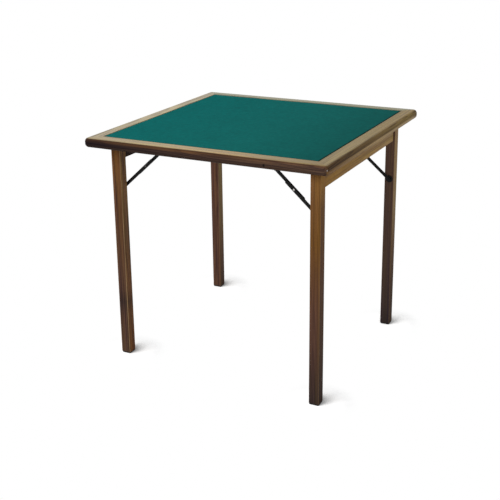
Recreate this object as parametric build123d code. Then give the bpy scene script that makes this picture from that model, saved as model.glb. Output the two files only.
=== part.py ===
from build123d import *
from collections import namedtuple
import math
import os

os.makedirs("parts", exist_ok=True)

# A square card table whose four legs fold flat under the top, one by one.
# Origin on the floor under the middle of the top. X to the right, Y to the back, Z up.
# Millimetres throughout.

# Top: four mitred edge members round a plywood panel covered with cloth
top_side = 800.0
table_height = 750.0
edge_thickness = 30.0
edge_width = 70.0
edge_round = 12.0
corner_extra = 2.0
border_width = 43.0
border_ease = 1.0
cloth_recess = 1.2
cloth_thickness = 2.0
cloth_gap = 0.8
panel_thickness = 10.0
panel_gap = 0.5

# Loose tongues across the mitres
tongue_length = 34.0
tongue_width = 22.0
tongue_thickness = 4.0
tongue_rise = 9.0
tongue_setback = 30.0

# Legs, square in section, in two bands so that opposite legs fold side by side
leg_side = 32.0
leg_inset = 36.0
outer_band_inset = 44.0
leg_clear_way = 16.0
leg_ease = 1.5
leg_top_round = 25.0
pivot_below_edge = 36.0

# Glides under the legs
glide_height = 5.0
glide_inset = 0.5
glide_corner = 3.0
glide_ease = 1.2
glide_stem_radius = 3.0
glide_stem_length = 18.0

# Side rails between the two legs of a side
rail_thickness = 18.0
rail_height = 57.0
rail_inset = 6.0
rail_leg_gap = 3.0
rail_ease = 1.5
dowel_radius = 4.0
dowel_in_rail = 20.0
dowel_in_edge = 12.0
dowel_end_distance = 60.0
dowel_count = 4

# Leg pivots: a steel pin pressed into the end of the rail, with a washer
pin_radius = 4.0
pin_in_rail = 40.0
pin_in_leg = 20.0
pin_end_play = 0.5
running_fit = 0.05
washer_radius = 9.0
washer_thickness = 2.5
washer_fit = 0.1

# Folding stays: two flat steel links that overlap at a riveted knee
link_width = 10.5
link_thickness = 3.0
link_ease = 0.5
upper_link_tail = 36.0
lower_link_tail = 30.0
knee_spacer = 1.9
side_play = 0.1
stay_standoff = 2.3
knee_rivet_radius = 2.0
knee_head_radius = 3.3
knee_head_thickness = 1.4
knee_spacer_radius = 5.0
anchor_below_edge = 18.0
front_right_stay_drop = 111.0
front_left_stay_drop = 118.0
front_stay_angle = 42.3
back_stay_drop = 152.0
back_stay_angle = 40.8

# Screw and insert where a stay meets its leg
insert_radius = 12.0
insert_thickness = 2.0
insert_ease = 0.6
insert_shank_radius = 4.0
insert_shank_length = 14.0
stay_screw_radius = 2.5
stay_screw_head_radius = 5.0
stay_screw_head_thickness = 1.7
stay_screw_tip = 0.1
driver_slot_width = 1.2
driver_slot_depth = 0.7

# Brackets that carry the stays under the panel
bracket_thickness = 2.0
bracket_width = 24.0
bracket_flange = 22.0
bracket_eye_radius = 8.0
bracket_bend = 2.0
bracket_play = 0.2
bracket_pin_radius = 3.0
bracket_pin_head_radius = 5.0
bracket_pin_head_thickness = 1.4
bracket_pin_end = 1.2
bracket_screw_radius = 1.8
bracket_screw_head_radius = 3.6
bracket_screw_head_height = 1.6
bracket_screw_length = 8.0
bracket_screw_spacing = 14.0

# Share of a head's height that is its straight rim
head_rim_share = 0.35

# Spare length of cutting tools
overrun = 5.0

# Places worked out from the sizes above
half_top = top_side / 2
corner_round = edge_round + corner_extra
edge_bottom = table_height - edge_thickness
cloth_top = table_height - cloth_recess
panel_top = cloth_top - cloth_thickness
panel_bottom = panel_top - panel_thickness
leg_outer_x = half_top - leg_inset
leg_x = leg_outer_x - leg_side / 2
outer_face_y = half_top - outer_band_inset - leg_side
inner_face_y = outer_face_y - leg_side - leg_clear_way
pivot_z = edge_bottom - pivot_below_edge
anchor_z = edge_bottom - anchor_below_edge
rail_outer_x = leg_outer_x - rail_inset
rail_middle_x = rail_outer_x - rail_thickness / 2
lower_link_y = stay_standoff
upper_link_y = lower_link_y + link_thickness + side_play + knee_spacer
bracket_y = upper_link_y + link_thickness + bracket_play

# One line for each leg: side is its sign along X and end its sign along Y, face_y is how far its
# inner face lies from the middle, drop and angle are how far below the pivot its stay is
# fastened and the stay's slope
Leg = namedtuple("Leg", "name side end face_y drop angle")
legs = [
    Leg("front_right", 1, -1, outer_face_y, front_right_stay_drop, front_stay_angle),
    Leg("front_left", -1, -1, inner_face_y, front_left_stay_drop, front_stay_angle),
    Leg("back_right", 1, 1, inner_face_y, back_stay_drop, back_stay_angle),
    Leg("back_left", -1, 1, outer_face_y, back_stay_drop, back_stay_angle),
]


def block(x_low, x_high, y_low, y_high, z_low, z_high):
    """A box between two corners."""
    size = (x_high - x_low, y_high - y_low, z_high - z_low)
    middle = ((x_high + x_low) / 2, (y_high + y_low) / 2, (z_high + z_low) / 2)
    return Pos(*middle) * Box(*size)


def bar_y(x, z, y_low, y_high, radius):
    """A round bar along Y."""
    middle = Pos(x, (y_low + y_high) / 2, z)
    return middle * Rot(90, 0, 0) * Cylinder(radius, y_high - y_low)


def bar_z(x, y, z_low, z_high, radius):
    """A round bar along Z."""
    return Pos(x, y, (z_low + z_high) / 2) * Cylinder(radius, z_high - z_low)


def button_head(radius, thickness):
    """A low domed head that stands on the XY plane."""
    dome = thickness * (1 - head_rim_share)
    ball = (radius ** 2 + dome ** 2) / (2 * dome)
    blank = Cylinder(radius, thickness, align=(Align.CENTER, Align.CENTER, Align.MIN))
    return blank & (Pos(0, 0, thickness - ball) * Sphere(ball))


def flat_head(radius, thickness):
    """A low head with a flat top and a bevelled rim that stands on the XY plane."""
    blank = Cylinder(radius, thickness, align=(Align.CENTER, Align.CENTER, Align.MIN))
    rim = blank.faces().sort_by(Axis.Z)[-1].edges()
    return chamfer(rim, thickness * (1 - head_rim_share))


def head_y(x, z, y, head, outward):
    """A head set on a face at y; outward is the way it points along Y."""
    return Pos(x, y, z) * Rot(-90 * outward, 0, 0) * head


def place(shape, leg):
    """Moves a piece made for the front right leg, its inner face at y = 0, to its leg."""
    if leg.side < 0:
        shape = mirror(shape, about=Plane.YZ)
    if leg.end > 0:
        shape = mirror(shape, about=Plane.XZ)
    return Pos(0, leg.end * leg.face_y, 0) * shape


def save(shape, node):
    """Writes one node with its solids."""
    solids = list(shape.solids())
    piece = solids[0] if len(solids) == 1 else Compound(solids)
    piece.label = node
    export_step(piece, f"parts/{node}.step")


def group(shapes):
    """Several separate solids as one compound."""
    return Compound([solid for shape in shapes for solid in shape.solids()])


def border():
    """The four edge members as one ring: rounded outside and at its corners, rebated for the panel."""
    blank = extrude(RectangleRounded(top_side, top_side, corner_round), edge_thickness)
    rims = blank.faces().sort_by(Axis.Z)
    ring = fillet(rims[0].edges() + rims[-1].edges(), edge_round)
    rebate_side = top_side - 2 * border_width
    rebate_depth = table_height - panel_bottom
    rebate = extrude(Rectangle(rebate_side, rebate_side), rebate_depth + overrun)
    ring -= Pos(0, 0, edge_thickness - rebate_depth) * rebate
    opening_side = top_side - 2 * edge_width
    opening = extrude(Rectangle(opening_side, opening_side), edge_thickness + overrun)
    ring -= Pos(0, 0, -overrun) * opening
    arris = ring.faces().sort_by(Axis.Z)[-1].inner_wires()[0].edges()
    return Pos(0, 0, edge_bottom) * fillet(arris, border_ease)


def edge_member():
    """The front member, cut from the border by the mitres at its two ends."""
    plan = Polygon((-half_top, -half_top), (half_top, -half_top), (0, 0), align=None)
    member = border() & (Pos(0, 0, edge_bottom - overrun) * extrude(plan, edge_thickness + 2 * overrun))
    for corner in (-1, 1):
        member -= mitre_tongue(corner, -1)
    return member


def mitre_tongue(x_sign, y_sign):
    """A loose plywood tongue across one mitre."""
    corner = half_top - tongue_setback - tongue_width / 2
    turn = 45 * x_sign * y_sign
    tongue = Rot(0, 0, turn) * Box(tongue_length, tongue_width, tongue_thickness)
    return Pos(x_sign * corner, y_sign * corner, edge_bottom + tongue_rise) * tongue


def rail_ends():
    """The two ends of the right rail along Y."""
    return (-outer_face_y + rail_leg_gap, inner_face_y - rail_leg_gap)


def dowel_places():
    """Places along the right rail of its dowels."""
    first = rail_ends()[0] + dowel_end_distance
    last = rail_ends()[1] - dowel_end_distance
    step = (last - first) / (dowel_count - 1)
    return [first + step * index for index in range(dowel_count)]


def rail_dowels():
    """The dowels between the right rail and the edge above it."""
    low = edge_bottom - dowel_in_rail
    high = edge_bottom + dowel_in_edge
    return [bar_z(rail_middle_x, y, low, high, dowel_radius) for y in dowel_places()]


def rail_pins():
    """The pivot pins in the two ends of the right rail."""
    near, far = rail_ends()
    near_pin = bar_y(leg_x, pivot_z, -outer_face_y - pin_in_leg, near + pin_in_rail, pin_radius)
    far_pin = bar_y(leg_x, pivot_z, far - pin_in_rail, inner_face_y + pin_in_leg, pin_radius)
    return [near_pin, far_pin]


def pin_washers():
    """Washers on the two pins of the right rail, against its ends."""
    near, far = rail_ends()
    rings = []
    for low, high in ((near - washer_thickness, near), (far, far + washer_thickness)):
        ring = bar_y(leg_x, pivot_z, low, high, washer_radius)
        rings.append(ring - bar_y(leg_x, pivot_z, low - overrun, high + overrun, pin_radius + washer_fit))
    return rings


def side_rail():
    """The right rail, eased along its lower edges."""
    near, far = rail_ends()
    inner_x = rail_outer_x - rail_thickness
    rail = block(inner_x, rail_outer_x, near, far, edge_bottom - rail_height, edge_bottom)
    lower = rail.edges().filter_by(Axis.Y).group_by(Axis.Z)[0]
    rail = fillet(lower, rail_ease)
    for hole in rail_dowels() + rail_pins():
        rail -= hole
    return rail


def leg_post():
    """A leg with its inner face at y = 0: a flat to bear on the edge and a round to turn under it."""
    low = glide_height
    half = leg_side / 2
    turn_start = math.sqrt(leg_top_round ** 2 - half ** 2)
    round_end = edge_bottom - leg_top_round + turn_start
    round_middle_x = leg_top_round * math.sin(math.asin(half / leg_top_round) / 2)
    round_middle_z = edge_bottom - leg_top_round + math.sqrt(leg_top_round ** 2 - round_middle_x ** 2)
    sides = Polyline((leg_x, edge_bottom), (leg_x + half, edge_bottom), (leg_x + half, low),
                     (leg_x - half, low), (leg_x - half, round_end))
    crown = ThreePointArc((leg_x - half, round_end), (leg_x - round_middle_x, round_middle_z),
                          (leg_x, edge_bottom))
    profile = make_face([sides, crown])
    post = extrude(Plane.XZ * profile, leg_side)
    post = fillet(post.edges().filter_by(Axis.Z), leg_ease)
    post -= bar_y(leg_x, pivot_z, -pin_in_leg - pin_end_play, overrun, pin_radius + running_fit)
    post -= bar_z(leg_x, -half, 0, low + glide_stem_length, glide_stem_radius)
    return post


def leg_glide():
    """A plastic glide with a stem that is pushed into the foot of the leg."""
    half = leg_side / 2 - glide_inset
    pad = block(leg_x - half, leg_x + half, -leg_side / 2 - half, -leg_side / 2 + half, 0, glide_height)
    pad = fillet(pad.edges().filter_by(Axis.Z), glide_corner)
    pad = chamfer(pad.faces().sort_by(Axis.Z)[0].edges(), glide_ease)
    stem = bar_z(leg_x, -leg_side / 2, glide_height, glide_height + glide_stem_length, glide_stem_radius)
    return pad + stem


def stay_points(leg):
    """Where a stay turns: on the leg, at the knee and at the bracket, all in its XZ plane.

    With the leg folded, the lower link lies level with the leg and the knee passes beyond the
    bracket, which fixes how the stay's whole length is shared between its links."""
    slope = math.radians(leg.angle)
    whole = (anchor_z - pivot_z + leg.drop) / math.sin(slope)
    foot = (leg_x, pivot_z - leg.drop)
    anchor = (leg_x - whole * math.cos(slope), anchor_z)
    folded_foot_x = leg_x - leg.drop
    reach = whole - (folded_foot_x - anchor[0])
    upper = (reach ** 2 + (anchor_z - pivot_z) ** 2) / (2 * reach)
    knee = (anchor[0] + upper * math.cos(slope), anchor_z - upper * math.sin(slope))
    return {"foot": foot, "knee": knee, "anchor": anchor, "upper": upper, "lower": whole - upper}


def flat_link(start, end, tail, y_low):
    """A flat link from its pivot at start past its pivot at end, with round ends and two holes."""
    length = math.dist(start, end)
    angle = math.degrees(math.atan2(end[1] - start[1], end[0] - start[0]))
    total = length + tail
    bar = extrude(SlotCenterToCenter(total, link_width), link_thickness)
    bar = Pos(total / 2, 0, 0) * bar
    rims = bar.faces().sort_by(Axis.Z)
    bar = chamfer(rims[0].edges() + rims[-1].edges(), link_ease)
    upright = Rot(90, 0, 0) * Rot(0, 0, angle) * bar
    return Pos(start[0], y_low + link_thickness, start[1]) * upright


def upper_link(leg):
    """The link between the bracket and the knee, on the side away from the leg."""
    points = stay_points(leg)
    link = flat_link(points["anchor"], points["knee"], upper_link_tail, upper_link_y)
    low = upper_link_y - overrun
    high = upper_link_y + link_thickness + overrun
    link -= bar_y(*points["anchor"], low, high, bracket_pin_radius + running_fit)
    link -= bar_y(*points["knee"], low, high, knee_rivet_radius)
    return link


def lower_link(leg):
    """The link between the leg and the knee, next to the leg."""
    points = stay_points(leg)
    link = flat_link(points["foot"], points["knee"], lower_link_tail, lower_link_y)
    low = lower_link_y - overrun
    high = lower_link_y + link_thickness + overrun
    link -= bar_y(*points["foot"], low, high, stay_screw_radius)
    link -= bar_y(*points["knee"], low, high, knee_rivet_radius + running_fit)
    return link


def knee_rivet(leg):
    """A rivet with a spacer collar between the links: fast in the upper link, turning in the lower."""
    knee = stay_points(leg)["knee"]
    head_y_low = lower_link_y - side_play
    upper_end = upper_link_y + link_thickness
    rivet = bar_y(*knee, head_y_low, upper_end, knee_rivet_radius)
    rivet += bar_y(*knee, upper_link_y - knee_spacer, upper_link_y, knee_spacer_radius)
    head = button_head(knee_head_radius, knee_head_thickness)
    rivet += head_y(*knee, head_y_low, head, -1)
    rivet += head_y(*knee, upper_end, head, 1)
    return rivet


def slotted_head(x, z, y, radius, thickness):
    """A domed screw head with a driver slot, pointing to +Y."""
    head = head_y(x, z, y, button_head(radius, thickness), 1)
    slot_bottom = y + thickness - driver_slot_depth
    half = driver_slot_width / 2
    return head - block(x - radius, x + radius, slot_bottom, y + thickness + overrun, z - half, z + half)


def stay_screw(leg):
    """The screw that holds a stay to its leg, carried by the lower link."""
    foot = stay_points(leg)["foot"]
    link_face = lower_link_y + link_thickness
    shank = bar_y(*foot, lower_link_y - stay_screw_tip, link_face, stay_screw_radius)
    return shank + slotted_head(*foot, link_face, stay_screw_head_radius, stay_screw_head_thickness)


def leg_insert(leg):
    """A flanged insert screwed into the leg, where the stay is fastened."""
    foot = stay_points(leg)["foot"]
    flange = bar_y(*foot, 0, insert_thickness, insert_radius)
    rim = flange.faces().sort_by(Axis.Y)[-1].edges()
    flange = chamfer(rim, insert_ease)
    return flange + bar_y(*foot, -insert_shank_length, 0, insert_shank_radius)


def bracket(leg):
    """A plate bent to a right angle: a flange under the panel, and an eye for the stay's pin."""
    x, z = stay_points(leg)["anchor"]
    half = bracket_width / 2
    eye_low = z - bracket_eye_radius
    inner_y = bracket_y + bracket_thickness
    flange_low = panel_bottom - bracket_thickness
    flange_end = bracket_y + bracket_flange
    section = Polygon(
        (bracket_y, eye_low), (bracket_y, panel_bottom), (flange_end, panel_bottom),
        (flange_end, flange_low), (inner_y, flange_low), (inner_y, eye_low), align=None)
    inner_bend = section.vertices().sort_by_distance((inner_y, flange_low))[0]
    section = fillet(inner_bend, bracket_bend)
    outer_bend = section.vertices().sort_by_distance((bracket_y, panel_bottom))[0]
    section = fillet(outer_bend, bracket_bend + bracket_thickness)
    strip = Pos(x, 0, 0) * extrude(Plane.YZ * section, half, both=True)

    shoulder_z = flange_low - bracket_bend
    sides = Polyline((x - bracket_eye_radius, z), (x - half, shoulder_z), (x - half, panel_bottom),
                     (x + half, panel_bottom), (x + half, shoulder_z), (x + bracket_eye_radius, z))
    round_end = ThreePointArc((x + bracket_eye_radius, z), (x, eye_low), (x - bracket_eye_radius, z))
    plate = strip & extrude(Plane.XZ * make_face([sides, round_end]), -flange_end)
    plate -= bar_y(x, z, bracket_y - overrun, inner_y + overrun, bracket_pin_radius)
    for screw in bracket_screws(leg):
        plate -= screw
    return plate


def bracket_screws(leg):
    """The two screws that hold a bracket to the panel."""
    x = stay_points(leg)["anchor"][0]
    y = bracket_y + (bracket_flange + bracket_thickness) / 2
    seat = panel_bottom - bracket_thickness
    head = Rot(180, 0, 0) * flat_head(bracket_screw_head_radius, bracket_screw_head_height)
    screws = []
    for side in (-1, 1):
        centre = x + side * bracket_screw_spacing / 2
        shank = bar_z(centre, y, seat, seat + bracket_screw_length, bracket_screw_radius)
        screws.append(shank + Pos(centre, y, seat) * head)
    return screws


def bracket_pin(leg):
    """The rivet in a bracket's eye: fast in the plate, the upper link turns on its end."""
    x, z = stay_points(leg)["anchor"]
    outer = bracket_y + bracket_thickness
    inner = upper_link_y - side_play
    pin = bar_y(x, z, inner, outer, bracket_pin_radius)
    pin += head_y(x, z, outer, flat_head(bracket_pin_head_radius, bracket_pin_head_thickness), 1)
    pin += head_y(x, z, inner, flat_head(bracket_pin_head_radius, bracket_pin_end), -1)
    return pin


def half_turn(shape):
    """The same piece on the opposite side of the table."""
    return Rot(0, 0, 180) * shape


# Edge members and the tongues in their mitres
front_edge = edge_member()
right_edge = Rot(0, 0, 90) * front_edge
for hole in rail_dowels():
    right_edge -= hole
save(front_edge, "edge_front")
save(half_turn(front_edge), "edge_back")
save(right_edge, "edge_right")
save(half_turn(right_edge), "edge_left")
save(group([mitre_tongue(x, y) for x in (-1, 1) for y in (-1, 1)]), "mitre_tongues")

# Panel with holes for the bracket screws, and the cloth on it
panel_half = half_top - border_width - panel_gap
panel = block(-panel_half, panel_half, -panel_half, panel_half, panel_bottom, panel_top)
all_bracket_screws = [place(screw, leg) for leg in legs for screw in bracket_screws(leg)]
for screw in all_bracket_screws:
    panel -= screw
save(panel, "top_panel")
cloth_half = half_top - border_width - cloth_gap
save(block(-cloth_half, cloth_half, -cloth_half, cloth_half, panel_top, cloth_top), "playing_cloth")

# Side rails with their dowels, pivot pins and washers
right_rail = side_rail()
save(right_rail, "rail_right")
save(half_turn(right_rail), "rail_left")
right_fittings = {
    "rail_dowels": rail_dowels(), "leg_pivot_pins": rail_pins(), "pivot_washers": pin_washers()}
for node, fittings in right_fittings.items():
    save(group(fittings + [half_turn(piece) for piece in fittings]), node)

# Brackets under the panel, their screws and pins
for leg in legs:
    save(place(bracket(leg), leg), f"stay_bracket_{leg.name}")
save(group(all_bracket_screws), "bracket_screws")
save(group([place(bracket_pin(leg), leg) for leg in legs]), "bracket_pins")

# Legs and stays
post = leg_post()
glide = leg_glide()
for leg in legs:
    insert = leg_insert(leg)
    leg_pieces = {
        "leg": post - insert, "glide": glide, "leg_insert": insert,
        "upper_link": upper_link(leg), "lower_link": lower_link(leg),
        "knee_rivet": knee_rivet(leg), "stay_screw": stay_screw(leg)}
    for piece_name, piece in leg_pieces.items():
        save(place(piece, leg), f"{piece_name}_{leg.name}")
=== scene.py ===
import math

import bmesh
import bpy
from mathutils import Matrix, Vector


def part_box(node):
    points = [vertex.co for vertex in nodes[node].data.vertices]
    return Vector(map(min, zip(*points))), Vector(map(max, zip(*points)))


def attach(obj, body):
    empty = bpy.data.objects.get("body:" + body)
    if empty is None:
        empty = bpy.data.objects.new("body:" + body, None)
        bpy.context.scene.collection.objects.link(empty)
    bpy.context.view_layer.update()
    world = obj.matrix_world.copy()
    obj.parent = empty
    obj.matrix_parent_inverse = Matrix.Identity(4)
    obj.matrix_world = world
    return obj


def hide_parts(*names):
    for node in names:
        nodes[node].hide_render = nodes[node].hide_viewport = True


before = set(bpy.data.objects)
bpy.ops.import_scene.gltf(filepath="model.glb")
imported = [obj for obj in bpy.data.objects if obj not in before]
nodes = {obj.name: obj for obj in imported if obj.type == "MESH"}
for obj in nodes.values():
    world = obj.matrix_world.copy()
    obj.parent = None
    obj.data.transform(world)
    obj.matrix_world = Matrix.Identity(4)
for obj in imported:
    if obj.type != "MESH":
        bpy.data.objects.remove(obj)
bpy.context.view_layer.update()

# A folding card table with a green cloth top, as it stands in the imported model: metres, X to the
# right, Y to the back, Z up, the floor at zero.

corners = ("front_right", "front_left", "back_right", "back_left")

# Camera: where it stands and looks, with its focal length and optical centre in photo pixels
photo_pixels = 500
camera_place = Vector((1.3374, -2.7057, 1.4397))
camera_azimuth = 27.740
camera_elevation = 17.317
camera_roll = -0.907
focal_pixels = 962.8
optical_centre_x = 236.22
optical_centre_y = 197.39
sensor_width = 36.0

# Cloth: the rows of its mesh, the roll of its edge down to the panel, how far in the painted shade along
# its right and front edges reaches, and how deep it waves
cloth_rows = 96
cloth_roll = 0.0016
cloth_gap_shade = 0.008
cloth_unevenness = 0.00012

# Lamp, and the strength of the sky at the horizon and overhead
lamp_place = Vector((-1.0, -3.4, 2.7))
lamp_aim = Vector((0.0, 0.0, 0.5))
lamp_size = 2.2
lamp_watts = 62.0
sky_low = 0.60
sky_high = 0.70

# Floor: its size, what it throws back on the table, and the patch round each foot that takes the
# lamp's shadow. Its contact shading: how near it looks, how dark it gets, and the shares of open
# view where it is full and where it ends
floor_size = 60.0
floor_bounce = 0.5
foot_patch_radius = 0.10
foot_patch_fade = 0.05
foot_patch_lift = 0.50
contact_reach = 0.11
contact_shade = 0.30
contact_closed = 0.67
contact_open = 0.97

# Wood: the width of its growth rings, how far off the pith lies, how the rings taper and waver along the
# piece, the tone and width of the lighter band along an arris, worn bare and with a painted highlight, the
# painted shade of the rails' inner faces, and the thickness of a ply
ring_width = 0.0034
pith_distance = 0.09
ring_taper = 0.014
ring_waver = 0.012
arris_wear_and_highlight = (0.38, 0.24, 0.12)
arris_band_width = 0.0024
rail_inner_painted_shade = (0.035, 0.020, 0.016)
ply_thickness = 0.0014

# Two marks on the edge, each with its middle, half its size and its colour: a dark knot on the front, and a
# pale spot on the near corner, a painted highlight
edge_knot = ((0.210, -0.400, 0.7325), (0.0045, 0.010, 0.0060), (0.012, 0.008, 0.007))
corner_painted_highlight = ((0.3975, -0.3945, 0.7375), (0.0030, 0.0030, 0.0034), (0.40, 0.34, 0.31))


class Socket:
    """A node's output. Arithmetic on a number socket adds Math nodes to its node tree."""

    def __init__(self, tree, output):
        self.tree = tree
        self.output = output

    def math(self, operation, first, second):
        """A Math node."""
        return self.tree.add("ShaderNodeMath", {"operation": operation}, {0: first, 1: second})

    def __add__(self, other):
        return self.math("ADD", self, other)

    __radd__ = __add__

    def __sub__(self, other):
        return self.math("SUBTRACT", self, other)

    def __rsub__(self, other):
        return self.math("SUBTRACT", other, self)

    def __mul__(self, other):
        return self.math("MULTIPLY", self, other)

    __rmul__ = __mul__

    def __truediv__(self, other):
        return self.math("DIVIDE", self, other)


class NodeTree:
    """Adds nodes to the node tree of a material or the world."""

    def __init__(self, tree):
        self.tree = tree

    def feed(self, socket, value):
        """Links a socket to another node, or sets its value."""
        if isinstance(value, Socket):
            self.tree.links.new(value.output, socket)
        else:
            socket.default_value = value

    def add(self, kind, settings=None, inputs=None, output=0):
        """A new node: its settings are set first, then its sockets. The output that is given back
        goes by its name or its number."""
        node = self.tree.nodes.new(kind)
        for name, value in (settings or {}).items():
            if name == "stops":
                self.set_stops(node.color_ramp, value)
            else:
                setattr(node, name, value)
        for name, value in (inputs or {}).items():
            self.feed(node.inputs[name], value)
        return Socket(self, node.outputs[output])

    def set_stops(self, ramp, stops):
        """Gives a colour ramp its stops, each a place and a colour."""
        while len(ramp.elements) < len(stops):
            ramp.elements.new(1.0)
        for element, (place, colour) in zip(ramp.elements, stops):
            element.position = place
            element.color = (*colour, 1.0)

    def vector(self, operation, first, second=(0, 0, 0), output="Vector"):
        """A Vector Math node."""
        return self.add("ShaderNodeVectorMath", {"operation": operation}, {0: first, 1: second}, output)

    def split(self, vector):
        """The three numbers of a vector."""
        node = self.add("ShaderNodeSeparateXYZ", {}, {0: vector}).output.node
        return [Socket(self, number) for number in node.outputs]

    def scaled(self, colour, value):
        """A colour or vector times a number."""
        return self.add("ShaderNodeVectorMath", {"operation": "SCALE"}, {0: colour, "Scale": value})

    def mix(self, share, first, second):
        """From the first colour to the second as share goes from 0 to 1. A Mix node has its
        colours in sockets 6 and 7, and gives their mix in output 2."""
        sides = [side if isinstance(side, Socket) else (*side, 1.0) for side in (first, second)]
        return self.add("ShaderNodeMix", {"data_type": "RGBA"}, {0: share, 6: sides[0], 7: sides[1]}, 2)

    def ramp(self, place, stops):
        """A colour that changes with place."""
        return self.add("ShaderNodeValToRGB", {"stops": stops}, {0: place})

    def step(self, value, low, high):
        """From 0 to 1, smoothly, as value goes from low to high."""
        return self.add("ShaderNodeMapRange", {"interpolation_type": "SMOOTHSTEP"},
                        {"Value": value, "From Min": low, "From Max": high})

    def noise(self, vector, detail=2.0, roughness=0.5, distortion=0.0):
        """Noise from 0 to 1 at the scale of its vector."""
        return self.add("ShaderNodeTexNoise", {}, {
            "Vector": vector, "Scale": 1.0, "Detail": detail, "Roughness": roughness,
            "Distortion": distortion})


class Finish(NodeTree):
    """A material. The words given for its shader are its sockets' names, with values that are the
    same all over."""

    def __init__(self, name, **shader):
        self.material = bpy.data.materials.new(name)
        self.material.use_nodes = True
        super().__init__(self.material.node_tree)
        self.shader = self.tree.nodes["Principled BSDF"]
        for words, value in shader.items():
            self.shader.inputs[words.replace("_", " ").title().replace("Ior", "IOR")].default_value = value

    def set(self, name, value):
        """Feeds one socket of the shader."""
        self.feed(self.shader.inputs[name], value)

    def place(self):
        """The place on the piece, in metres, which stays with the piece when it moves."""
        return self.add("ShaderNodeTexCoord", output="Object")

    def facing(self):
        """The direction that the piece's surface faces."""
        return self.add("ShaderNodeTexCoord", output="Normal")

    def bump(self, height, strength, distance):
        """Relief from a height between 0 and 1, which is distance high."""
        self.set("Normal", self.add("ShaderNodeBump", {}, {
            "Height": height, "Strength": strength, "Distance": distance}))


def grain_steps(axis, along, across):
    """How many noise steps a metre takes along the grain and across it."""
    return [1 / along if index == axis else 1 / across for index in range(3)]


class Grain:
    """The figure of a piece of wood, each part from 0 to 1: its late rings, broad bands, streaks,
    fine fibres and pores, and a slow drift of its hue."""

    def __init__(self, finish, axis, seed, middle):
        place = finish.place()
        shifted = finish.vector("ADD", place, (seed * 1.7, seed * 2.3, seed * 3.1))
        # Each part's length along the grain and its width, in metres, and its noise detail
        sized = {
            "band": (0.50, 0.008, 2.0), "streak": (0.20, 0.0026, 2.0), "hue": (0.35, 0.012, 1.0),
            "fibre": (0.05, 0.0008, 1.0), "pore": (0.009, 0.0004, 0.0), "waver": (0.30, 0.030, 1.0)}
        for name, (along, across, detail) in sized.items():
            stretched = finish.vector("MULTIPLY", shifted, grain_steps(axis, along, across))
            setattr(self, name, finish.noise(stretched, detail=detail, distortion=0.15))

        swing = seed * 2.4
        first, second = [index for index in range(3) if index != axis]
        pith = Vector(middle)
        pith[first] += pith_distance * math.sin(swing)
        pith[second] += pith_distance * math.cos(swing)
        across = [0.0 if index == axis else 1.0 for index in range(3)]
        from_pith = finish.vector("MULTIPLY", finish.vector("SUBTRACT", place, pith), across)
        radius = finish.vector("LENGTH", from_pith, output="Value")
        along = finish.split(place)[axis]
        turns = (radius + along * ring_taper + self.waver * ring_waver) / ring_width
        ring = finish.add("ShaderNodeMath", {"operation": "FRACT"}, {0: turns})
        self.late = finish.step(ring, 0.25, 0.90) - finish.step(ring, 0.90, 1.0)

    def tone(self):
        """One number from 0, dark wood, to 1, light wood."""
        return self.band * 0.30 + self.streak * 0.48 + self.fibre * 0.12 + (1 - self.late) * 0.10


def off_middle(finish, middle, choice):
    """How far a place is from a middle line that stands upright, along X or Y: choice takes the
    MAXIMUM or the MINIMUM of the two."""
    numbers = finish.split(finish.place())
    sides = [finish.add("ShaderNodeMath", {"operation": "ABSOLUTE"}, {0: numbers[index] - middle[index]})
             for index in (0, 1)]
    return finish.add("ShaderNodeMath", {"operation": choice}, {0: sides[0], 1: sides[1]})


def arris(finish, low, high):
    """One along the upright edges of a square leg, and zero a little way in on its faces."""
    half = (high.x - low.x) / 2
    nearer = off_middle(finish, (low + high) / 2, "MINIMUM")
    return finish.step(nearer, half - arris_band_width, half - arris_band_width / 3)


def spotted(finish, colour, marks):
    """A colour with small soft-edged spots in it."""
    for centre, reach, spot in marks:
        away = finish.vector("DIVIDE", finish.vector("SUBTRACT", finish.place(), centre), reach)
        far = finish.vector("LENGTH", away, output="Value")
        colour = finish.mix(finish.step(far, 0.4, 1.0), spot, colour)
    return colour


def figured(finish, grain, mean, contrast, drift, calm):
    """A mean colour with the grain's figure and the drift of its hue. calm is how far the figure
    fades."""
    tone = finish.step(grain.tone(), 0.38, 0.62)
    dark = (1 - contrast, 1 - contrast * 1.05, 1 - contrast * 0.8)
    light = (1 + contrast, 1 + contrast * 0.95, 1 + contrast * 0.6)
    figure = finish.mix(tone, dark, light)
    if calm:
        figure = finish.mix(calm(finish), figure, (1.0, 1.0, 1.0))
    plum = (1 - drift * 0.4, 1 - drift, 1 + drift * 2.0)
    gold = (1 + drift * 0.4, 1 + drift * 0.5, 1 - drift * 1.6)
    hue = finish.mix(finish.step(grain.hue, 0.35, 0.65), plum, gold)
    return finish.vector("MULTIPLY", finish.vector("MULTIPLY", mean(finish), figure), hue)


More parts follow.
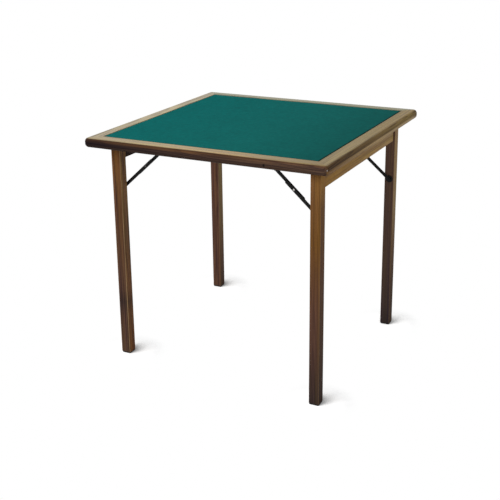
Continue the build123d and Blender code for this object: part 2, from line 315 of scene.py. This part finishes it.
def wood(name, node, axis, seed, mean, contrast=0.4, drift=0.06, coat=0.05, roughness=0.5, rubbed=0.0,
         marks=(), calm=None):
    """A varnished wood for one node. mean gives its mean colour from its finish, and coat how much of the
    varnish is left, the same all over or from the finish. rubbed is how far the arrises turn lighter: worn
    to bare wood, with a painted highlight along them. marks are spots. calm gives how far the figure fades,
    from the finish."""
    low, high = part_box(node)
    finish = Finish(name, specular_ior_level=0.01, coat_roughness=0.24)
    grain = Grain(finish, axis, seed, (low + high) / 2)
    tinted = figured(finish, grain, mean, contrast, drift, calm)
    # The arrises turn lighter where the streaks are light: wear to bare wood, and a painted highlight along
    # the edge
    if rubbed:
        bare = arris(finish, low, high) * finish.step(grain.streak, 0.25, 0.55)
        tinted = finish.mix(bare * rubbed, tinted, arris_wear_and_highlight)
    tinted = spotted(finish, tinted, marks)
    pore = finish.step(grain.pore, 0.66, 0.74)
    finish.set("Base Color", finish.scaled(tinted, 1 - pore * 0.35))
    finish.set("Roughness", roughness + pore * 0.25 + (1 - grain.fibre) * 0.08)
    finish.set("Coat Weight", coat(finish) if callable(coat) else coat)
    finish.bump(grain.fibre * 0.5 + grain.late * 0.2 + (1 - pore) * 0.3, 0.35, 0.0002)
    return finish.material


def along_ramp(axis, low, high, stops):
    """A mean colour that changes along one axis, from low to high in metres."""
    def mean(finish):
        numbers = finish.split(finish.place())
        share = (numbers[axis] - low) / (high - low)
        return finish.ramp(share, stops)
    return mean


def turned_up(finish):
    """From 0 on the sides to 1 on top of the rounded edge, and on the wall beside the cloth."""
    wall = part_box("playing_cloth")[1].x
    inner = 1 - finish.step(off_middle(finish, (0, 0), "MAXIMUM"), wall + 0.0005, wall + 0.0015)
    above = finish.step(finish.split(finish.facing())[2], 0.80, 0.98)
    return finish.add("ShaderNodeMath", {"operation": "MAXIMUM"}, {0: inner, 1: above})


# Where the top is lighter than the side, the change is partly painted light from above and a painted
# reflection of the bright surround
def faced(side, top):
    """A mean colour that turns from the side's to the top's where the surface turns upward."""
    return lambda finish: finish.mix(turned_up(finish), side(finish), top(finish))


def layered(levels):
    """A mean colour made of levels, each a height in metres and a mean, from the lowest up."""
    def mean(finish):
        height = finish.split(finish.place())[2]
        (low, colour), *rest = [(level, tone(finish)) for level, tone in levels]
        for high, upper in rest:
            colour = finish.mix(finish.step(height, low, high), colour, upper)
            low = high
        return colour
    return mean


def edge_coat(finish):
    """The varnish of the edge: glossier on top."""
    return 0.05 + turned_up(finish) * 0.20


def two_faced(front, side, outward=1):
    """A mean colour that is another one on the face to the right, or to the left where outward
    is -1."""
    def mean(finish):
        sideways = finish.split(finish.facing())[0] * outward
        return finish.mix(finish.step(sideways, 0.4, 0.9), front(finish), side(finish))
    return mean


def paint(node, material):
    """Gives a CAD node its material."""
    mesh = nodes[node].data
    mesh.materials.clear()
    mesh.materials.append(material)


def edge_materials():
    """The four edge members: darker sides, and a lighter top, partly its own paler tone and partly painted
    light from above and a painted reflection of the bright surround. The sides hold painted light and shade
    in bands by height. Each tone runs from left to right or from front to back."""
    low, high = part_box("edge_front")
    middle = (low.z + high.z) / 2
    bottom_tone = along_ramp(0, low.x, high.x, [(0.0, (0.030, 0.018, 0.014)), (1.0, (0.072, 0.042, 0.030))])
    middle_tone = along_ramp(0, low.x, high.x, [
        (0.0, (0.0145, 0.0085, 0.010)), (0.25, (0.029, 0.0175, 0.017)), (0.5, (0.058, 0.033, 0.026)),
        (1.0, (0.091, 0.054, 0.035))])
    upper_tone = along_ramp(0, low.x, high.x, [(0.0, (0.040, 0.020, 0.013)), (0.5, (0.098, 0.046, 0.021)),
                                               (1.0, (0.104, 0.055, 0.030))])
    # The front side's bands by height are painted light and shade on the rounded profile: lighter above and
    # below a dark middle
    front_side = layered([
        (middle - 0.010, bottom_tone), (middle - 0.002, middle_tone), (middle + 0.002, middle_tone),
        (middle + 0.010, upper_tone)])
    front_top = along_ramp(0, low.x, high.x, [
        (0.0, (0.405, 0.330, 0.205)), (0.35, (0.475, 0.375, 0.200)), (0.6, (0.435, 0.310, 0.160)),
        (0.8, (0.340, 0.260, 0.130)), (1.0, (0.225, 0.157, 0.067))])
    back_top = along_ramp(0, low.x, high.x, [(0.0, (0.36, 0.345, 0.24)), (1.0, (0.29, 0.285, 0.19))])

    low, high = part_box("edge_right")
    right_low = along_ramp(1, low.y, high.y, [
        (0.0, (0.205, 0.114, 0.045)), (0.5, (0.44, 0.31, 0.165)), (0.93, (0.43, 0.32, 0.19)),
        (1.0, (0.20, 0.14, 0.08))])
    right_high = along_ramp(1, low.y, high.y, [
        (0.0, (0.078, 0.042, 0.020)), (0.93, (0.20, 0.14, 0.052)), (1.0, (0.11, 0.075, 0.035))])
    # The lower half of the right side is lighter than the upper half: painted light from the floor below,
    # and painted shade above
    right_side = layered([(middle - 0.003, right_low), (middle + 0.003, right_high)])
    right_top = along_ramp(1, low.y, high.y, [
        (0.0, (0.255, 0.190, 0.092)), (0.3, (0.295, 0.220, 0.091)), (0.7, (0.255, 0.175, 0.061)),
        (1.0, (0.286, 0.201, 0.075))])
    left_top = along_ramp(1, low.y, high.y, [(0.0, (0.42, 0.355, 0.225)), (1.0, (0.50, 0.43, 0.275))])

    members = {
        "edge_front": (0, front_side, front_top), "edge_back": (0, front_side, back_top),
        "edge_right": (1, right_side, right_top), "edge_left": (1, upper_tone, left_top)}
    for index, (node, (axis, side, top)) in enumerate(members.items()):
        paint(node, wood(node + "_walnut", node, axis, 1.0 + index, faced(side, top), drift=0.02,
                         coat=edge_coat, marks=(edge_knot, corner_painted_highlight),
                         calm=lambda finish: turned_up(finish) * 0.25))


def leg_materials():
    """The four legs, each from its own piece of wood: the contrast of its figure, how far its arrises turn
    lighter, and the tones of its front and its right face, from the foot up. These tones hold painted light
    and shade over the wood's own tone: the front and the right face of one leg differ by how the light
    falls on them, and they change along the height as the light on them does."""
    # Front and right-face tones: the wood's own tone with painted light and shade in it
    tones = {
        "front_right": (
            0.26, 0.25,
            [(0.0, (0.048, 0.031, 0.024)), (0.4, (0.121, 0.060, 0.034)), (0.7, (0.161, 0.075, 0.019)),
             (0.87, (0.184, 0.087, 0.028)), (1.0, (0.238, 0.114, 0.036))],
            [(0.0, (0.032, 0.017, 0.010)), (0.5, (0.095, 0.048, 0.026)), (0.85, (0.165, 0.082, 0.032)),
             (1.0, (0.410, 0.212, 0.056))]),
        "front_left": (
            0.54, 1.0,
            [(0.0, (0.085, 0.047, 0.033)), (0.18, (0.085, 0.045, 0.032)), (0.25, (0.050, 0.030, 0.024)),
             (0.32, (0.087, 0.046, 0.030)), (0.75, (0.125, 0.060, 0.028)), (1.0, (0.165, 0.074, 0.022))],
            [(0.0, (0.158, 0.065, 0.028)), (0.18, (0.172, 0.081, 0.036)), (0.25, (0.095, 0.052, 0.028)),
             (0.32, (0.182, 0.090, 0.038)), (0.6, (0.163, 0.092, 0.044)),
             (0.8, (0.255, 0.149, 0.068)), (0.92, (0.215, 0.132, 0.066)), (1.0, (0.195, 0.122, 0.063))]),
        "back_right": (
            0.24, 0.25,
            [(0.0, (0.036, 0.026, 0.025)), (0.1, (0.056, 0.038, 0.034)), (1.0, (0.154, 0.088, 0.064))],
            [(0.0, (0.048, 0.025, 0.012)), (0.21, (0.060, 0.030, 0.014)), (0.4, (0.135, 0.075, 0.035)),
             (0.6, (0.280, 0.190, 0.094)), (1.0, (0.400, 0.260, 0.120))]),
        "back_left": (
            0.36, 0.25,
            [(0.0, (0.122, 0.060, 0.042)), (1.0, (0.150, 0.072, 0.048))],
            [(0.0, (0.068, 0.038, 0.026)), (0.23, (0.146, 0.085, 0.051)), (0.44, (0.218, 0.150, 0.072)),
             (1.0, (0.326, 0.242, 0.128))]),
    }
    for index, corner in enumerate(corners):
        node = "leg_" + corner
        low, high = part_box(node)
        contrast, rubbed, *faces = tones[corner]
        front, side = (along_ramp(2, low.z, high.z, stops) for stops in faces)
        paint(node, wood("walnut_" + node, node, 2, 5.0 + index, two_faced(front, side),
                         contrast=contrast, rubbed=rubbed))


def rail_materials():
    """The two side rails, with tones that run from front to back: darker along the top, a painted shadow
    under the edge, and dark on their inner faces, painted shade under the top."""
    for index, (side, outward) in enumerate((("right", 1), ("left", -1))):
        node = "rail_" + side
        low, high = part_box(node)
        golden = along_ramp(1, low.y, high.y, [(0.0, (0.332, 0.178, 0.047)), (1.0, (0.43, 0.295, 0.122))])
        streak = along_ramp(1, low.y, high.y, [(0.0, (0.247, 0.138, 0.069)), (1.0, (0.545, 0.420, 0.250))])
        shaded = along_ramp(1, low.y, high.y, [(0.0, (0.158, 0.085, 0.037)), (1.0, (0.272, 0.201, 0.054))])
        # The dark band along the top is painted shadow of the edge above, and the inner face gets painted
        # shade
        outer = layered([(high.z - 0.034, golden), (high.z - 0.021, streak), (high.z - 0.014, shaded)])
        mean = two_faced(outer, lambda finish: rail_inner_painted_shade, -outward)
        paint(node, wood("walnut_" + node, node, 1, 9.0 + index, mean, contrast=0.3))


def plain_woods():
    """Bare beech dowels, and the birch plywood of the panel and the tongues."""
    beech = wood("bare_beech", "rail_dowels", 2, 12.0, lambda finish: (0.55, 0.36, 0.20),
                 contrast=0.18, coat=0.0, roughness=0.6)
    paint("rail_dowels", beech)
    for index, node in enumerate(("top_panel", "mitre_tongues")):
        ply = Finish("birch_" + node, specular_ior_level=0.2)
        low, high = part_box(node)
        grain = Grain(ply, 0, 13.0 + index, (low + high) / 2)
        height = ply.split(ply.place())[2]
        layer = ply.add("ShaderNodeMath", {"operation": "PINGPONG"}, {0: height, 1: ply_thickness})
        face = ply.mix(grain.tone(), (0.42, 0.28, 0.15), (0.62, 0.46, 0.28))
        ply.set("Base Color", ply.scaled(face, 0.75 + ply.step(layer, 0.0002, 0.0009) * 0.25))
        ply.set("Roughness", 0.6 + grain.fibre * 0.2)
        ply.bump(grain.fibre, 0.3, 0.0002)
        paint(node, ply.material)


def black_steel():
    """Black lacquered steel, a little worn."""
    finish = Finish("black_steel", specular_ior_level=0.12)
    place = finish.place()
    cloud = finish.noise(finish.scaled(place, 90.0), detail=4.0, roughness=0.65)
    speck = finish.noise(finish.scaled(place, 900.0), detail=2.0)
    rubbed = finish.step(cloud * 0.6 + speck * 0.4, 0.58, 0.72)
    finish.set("Base Color", finish.mix(rubbed, (0.0055, 0.0052, 0.0052), (0.020, 0.018, 0.016)))
    finish.set("Roughness", 0.36 + cloud * 0.22)
    finish.bump(speck * 0.5 + cloud * 0.5, 0.3, 0.0001)
    return finish.material


def bright_steel(name, dark, light):
    """Bare steel, brushed and dulled with age between a dark and a light tone."""
    finish = Finish(name, metallic=1.0)
    place = finish.place()
    dull = finish.noise(finish.scaled(place, 260.0), detail=3.0)
    brushed = finish.noise(finish.vector("MULTIPLY", place, (900.0, 4000.0, 900.0)), detail=1.0)
    finish.set("Base Color", finish.mix(dull, dark, light))
    finish.set("Roughness", 0.22 + dull * 0.22)
    finish.bump(brushed, 0.25, 0.00005)
    return finish.material


def glide_plastic():
    """Dark moulded plastic, scuffed under the foot."""
    finish = Finish("glide_plastic", specular_ior_level=0.15)
    place = finish.place()
    grain = finish.noise(finish.scaled(place, 1400.0), detail=2.0)
    scuff = finish.noise(finish.vector("MULTIPLY", place, (160.0, 420.0, 900.0)), detail=3.0)
    scuffed = finish.step(scuff, 0.55, 0.75)
    finish.set("Base Color", finish.mix(scuffed, (0.014, 0.012, 0.011), (0.05, 0.046, 0.042)))
    finish.set("Roughness", 0.45 + scuff * 0.25)
    finish.bump(grain, 0.3, 0.0001)
    return finish.material


def metal_materials():
    """Stays, brackets and their fasteners, and the glides."""
    black = black_steel()
    bright = bright_steel("bright_steel", (0.22, 0.21, 0.20), (0.44, 0.43, 0.41))
    tarnished = bright_steel("tarnished_steel", (0.04, 0.038, 0.036), (0.10, 0.095, 0.090))
    plastic = glide_plastic()
    for corner in corners:
        for name in ("upper_link_", "lower_link_", "leg_insert_", "stay_screw_", "stay_bracket_"):
            paint(name + corner, black)
        paint("knee_rivet_" + corner, bright if corner == "front_right" else tarnished)
        paint("glide_" + corner, plastic)
    paint("bracket_screws", black)
    for name in ("leg_pivot_pins", "pivot_washers", "bracket_pins"):
        paint(name, bright)


def baize(half):
    """Green wool baize with a short nap, a little mottled by use, and darker along its right and front
    edges: painted shade of the gap beside the border."""
    finish = Finish("green_baize", roughness=0.95, specular_ior_level=0.01, sheen_weight=0.01,
                    sheen_roughness=0.5)
    place = finish.place()
    patch = finish.noise(finish.scaled(place, 9.0), detail=3.0, roughness=0.6)
    mottle = finish.noise(finish.scaled(place, 85.0), detail=4.0, roughness=0.75)
    nap = finish.noise(finish.vector("MULTIPLY", place, (1500.0, 1100.0, 1500.0)), detail=2.0)
    across, along = finish.split(place)[:2]
    base = finish.ramp(across / (2 * half) + 0.5, [
        (0.0, (0.001, 0.142, 0.134)), (0.6, (0.004, 0.133, 0.122)), (1.0, (0.004, 0.100, 0.090))])
    # Painted shade along the right and front edges, where the border stands above the cloth
    outward = finish.add("ShaderNodeMath", {"operation": "MAXIMUM"}, {0: across, 1: -1 * along})
    rim = finish.step(outward, half - cloth_gap_shade, half - cloth_gap_shade / 3)
    shade = (0.46 + patch * 0.20 + mottle * 0.78 + nap * 0.10) * (1 - rim * 0.85)
    finish.set("Base Color", finish.scaled(base, shade))
    finish.bump(nap * 0.7 + mottle * 0.3, 0.5, 0.0003)
    return finish.material


def cloth_height(x, y, half, low, high):
    """The cloth's height: flat but for slow waves, about 20 cm long, and its edge, which rolls
    down."""
    inside = half - max(abs(x), abs(y))
    share = min(max(inside / cloth_roll, 0.0), 1.0)
    roll = math.sqrt(1 - (1 - share) ** 2)
    wave = math.sin(x * 31.0 + 1.3 * math.sin(y * 17.0)) * math.sin(y * 27.0 + 0.7)
    return low + (high - low - cloth_unevenness * (1 + wave)) * roll


def playing_cloth():
    """The cloth stretched over the panel, its edge tucked down beside the border."""
    low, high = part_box("playing_cloth")
    half = high.x
    inner = half - cloth_roll
    steps = [-inner + 2 * inner * index / cloth_rows for index in range(cloth_rows + 1)]
    # The rows on the roll lie closer together where it is steeper
    rims = [half - cloth_roll * share for share in (0.0, 0.08, 0.25, 0.55)]
    lines = [-rim for rim in rims] + steps + rims[::-1]
    mesh = bmesh.new()
    grid = [[mesh.verts.new((x, y, cloth_height(x, y, half, low.z, high.z))) for x in lines] for y in lines]
    for near, far in zip(grid, grid[1:]):
        for index in range(len(lines) - 1):
            mesh.faces.new((near[index], near[index + 1], far[index + 1], far[index]))
    data = bpy.data.meshes.new("baize_cloth")
    mesh.to_mesh(data)
    mesh.free()
    data.shade_smooth()
    data.materials.append(baize(half))
    piece = bpy.data.objects.new("baize_cloth", data)
    bpy.context.scene.collection.objects.link(piece)
    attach(piece, "table_top")
    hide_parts("playing_cloth")


def background_ray(tree):
    """One for rays that show the background: camera, glossy and transmission rays."""
    rays = [tree.add("ShaderNodeLightPath", output=f"Is {kind} Ray")
            for kind in ("Camera", "Glossy", "Transmission")]
    return tree.add("ShaderNodeClamp", {}, {0: rays[0] + rays[1] + rays[2]})


def make_world():
    """White for what shows the background, and a soft sky, brighter overhead, for the light."""
    world = bpy.data.worlds.new("studio")
    world.use_nodes = True
    bpy.context.scene.world = world
    tree = NodeTree(world.node_tree)
    background = world.node_tree.nodes["Background"]
    height = tree.split(tree.add("ShaderNodeTexCoord", output="Generated"))[2]
    sky = tree.add("ShaderNodeMapRange", {}, {
        "Value": height, "From Min": 0.0, "From Max": 1.0, "To Min": sky_low, "To Max": sky_high})
    seen = background_ray(tree)
    tree.feed(background.inputs["Strength"], seen + (1 - seen) * sky)
    background.inputs["Color"].default_value = (1.0, 1.0, 1.0, 1.0)


def from_feet(tree):
    """How far a place on the floor is from the nearest foot."""
    place = tree.add("ShaderNodeTexCoord", output="Object")
    nearest = floor_size
    for corner in corners:
        low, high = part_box("glide_" + corner)
        foot = Vector(((low.x + high.x) / 2, (low.y + high.y) / 2, 0))
        away = tree.vector("DISTANCE", place, foot, "Value")
        nearest = tree.add("ShaderNodeMath", {"operation": "MINIMUM"}, {0: away, 1: nearest})
    return nearest


def contact_tone(tree):
    """White, shaded where something stands close between the floor and the lamp."""
    # The node takes its Normal only from a link, so the direction goes through a node of its own
    toward = tree.vector("NORMALIZE", (lamp_place.x, lamp_place.y, 0))
    open_share = tree.add("ShaderNodeAmbientOcclusion", {"samples": 16}, {
        "Distance": contact_reach, "Normal": toward}, "AO")
    clear = tree.step(open_share, contact_closed, contact_open)
    return tree.scaled((1.0, 1.0, 1.0), contact_shade + clear * (1 - contact_shade))


def pale_floor():
    """The floor's material: white where it is seen, with the lamp's shadow and the contact
    shading round each foot, and grey for the light that it throws back."""
    material = bpy.data.materials.new("pale_floor")
    material.use_nodes = True
    tree = NodeTree(material.node_tree)
    material.node_tree.nodes.remove(material.node_tree.nodes["Principled BSDF"])
    tone = contact_tone(tree)
    white = tree.add("ShaderNodeEmission", {}, {"Color": tone, "Strength": 1.0})
    lift = tree.add("ShaderNodeEmission", {}, {"Color": tone, "Strength": foot_patch_lift})
    shaded = tree.add("ShaderNodeBsdfDiffuse", {}, {"Color": tone})
    patch = tree.add("ShaderNodeAddShader", {}, {0: lift, 1: shaded})
    far = tree.step(from_feet(tree), foot_patch_radius - foot_patch_fade, foot_patch_radius)
    shown = tree.add("ShaderNodeMixShader", {}, {0: far, 1: patch, 2: white})
    grey = (floor_bounce, floor_bounce, floor_bounce, 1)
    bounce = tree.add("ShaderNodeBsdfDiffuse", {}, {"Color": grey})
    surface = tree.add("ShaderNodeMixShader", {}, {0: background_ray(tree), 1: bounce, 2: shown})
    tree.feed(material.node_tree.nodes["Material Output"].inputs["Surface"], surface)
    return material


def make_floor():
    """A wide floor that shows white."""
    half = floor_size / 2
    square = [(-half, -half, 0), (half, -half, 0), (half, half, 0), (-half, half, 0)]
    data = bpy.data.meshes.new("floor")
    data.from_pydata(square, [], [(0, 1, 2, 3)])
    data.materials.append(pale_floor())
    floor = bpy.data.objects.new("floor", data)
    bpy.context.scene.collection.objects.link(floor)


def make_lamp():
    """A large soft lamp, high on the left in front."""
    data = bpy.data.lights.new("soft_lamp", "AREA")
    data.shape = "DISK"
    data.size = lamp_size
    data.energy = lamp_watts
    lamp = bpy.data.objects.new("soft_lamp", data)
    lamp.location = lamp_place
    lamp.rotation_mode = "QUATERNION"
    lamp.rotation_quaternion = (lamp_aim - lamp_place).to_track_quat("-Z", "Y")
    bpy.context.scene.collection.objects.link(lamp)


def make_camera():
    """The camera of the photograph."""
    turn = math.radians(camera_azimuth)
    tilt = math.radians(camera_elevation)
    roll = math.radians(camera_roll)
    forward = Vector((-math.sin(turn) * math.cos(tilt), math.cos(turn) * math.cos(tilt), -math.sin(tilt)))
    level = Vector((math.cos(turn), math.sin(turn), 0))
    upright = level.cross(forward)
    right = level * math.cos(roll) + upright * math.sin(roll)
    up = upright * math.cos(roll) - level * math.sin(roll)
    data = bpy.data.cameras.new("camera")
    data.sensor_width = sensor_width
    data.lens = sensor_width * focal_pixels / photo_pixels
    middle = (photo_pixels - 1) / 2
    data.shift_x = (middle - optical_centre_x) / photo_pixels
    data.shift_y = (optical_centre_y - middle) / photo_pixels
    camera = bpy.data.objects.new("camera", data)
    axes = Matrix((right, up, -forward)).transposed().to_4x4()
    camera.matrix_world = Matrix.Translation(camera_place) @ axes
    bpy.context.scene.collection.objects.link(camera)
    bpy.context.scene.camera = camera


bpy.context.scene.view_settings.view_transform = "Standard"
make_camera()
make_world()
make_floor()
make_lamp()
edge_materials()
leg_materials()
rail_materials()
plain_woods()
metal_materials()
playing_cloth()
